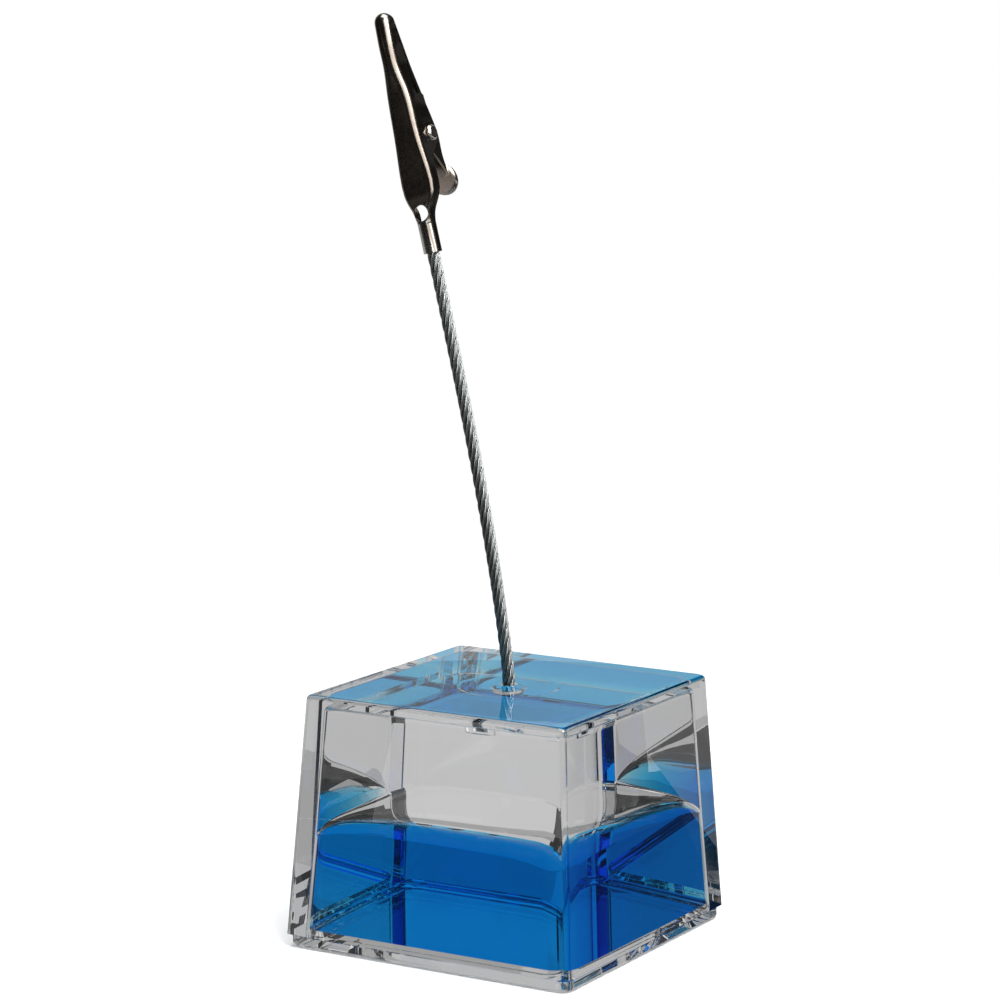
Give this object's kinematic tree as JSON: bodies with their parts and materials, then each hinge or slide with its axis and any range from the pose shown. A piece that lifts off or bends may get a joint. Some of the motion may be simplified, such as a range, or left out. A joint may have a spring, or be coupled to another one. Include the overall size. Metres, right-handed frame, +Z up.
{
  "type": "memo holder",
  "caption": "Desk memo holder: clear square block half filled with blue liquid under clear oil, with a leaning wire-rope stem that carries a sprung alligator clip to hold a note.",
  "frame": {"origin": "middle of the block's underside, on the desk", "axes": "+Z up from the desk, +X and +Y square to the block's side faces, the stem leans towards -X and the clip's lever is on its +Y side"},
  "size_m": [0.055, 0.055, 0.156],
  "materials": {
    "body_shell": "polished clear acrylic",
    "base_plate": "polished clear acrylic",
    "fill_plug": "translucent soft plastic",
    "blue_liquid": "blue dyed water",
    "clear_oil": "clear oil",
    "wire_rope": "galvanised wire",
    "clip_sheet": "black nickel plate",
    "rivet": "worn nickel plate",
    "spring": "drawn spring wire"
  },
  "bodies": {
    "base": {"body_shell": "body_shell", "base_plate": "base_plate", "fill_plug": "fill_plug", "blue_liquid": "blue_liquid", "clear_oil": "clear_oil", "cable_core": "wire_rope", "cable_strand_1": "wire_rope", "cable_strand_2": "wire_rope", "cable_strand_3": "wire_rope", "cable_strand_4": "wire_rope", "cable_strand_5": "wire_rope", "cable_strand_6": "wire_rope"},
    "clip": {"fixed_jaw": "clip_sheet", "pivot_rivet": "rivet", "jaw_spring": "spring"},
    "lever": {"lever_jaw": "clip_sheet"}
  },
  "joints": [
    {"name": "stem_flex", "type": "hinge", "parent": "base", "child": "clip", "pos_m": [-0.00381, 0, 0.06769], "axis": [0, 1, 0], "range_deg": [-30, 30], "stiffness_Nm_per_rad": 0.03, "springref_deg": 0.59, "deforming": ["cable_core", "cable_strand_1", "cable_strand_2", "cable_strand_3", "cable_strand_4", "cable_strand_5", "cable_strand_6"]},
    {"name": "jaw_open", "type": "hinge", "parent": "clip", "child": "lever", "pos_m": [-0.02, 0.00305, 0.13532], "axis": [-0.9694, 0, -0.2453], "range_deg": [0, 34], "stiffness_Nm_per_rad": 0.02, "springref_deg": -0.57, "deforming": ["jaw_spring"]}
  ]
}
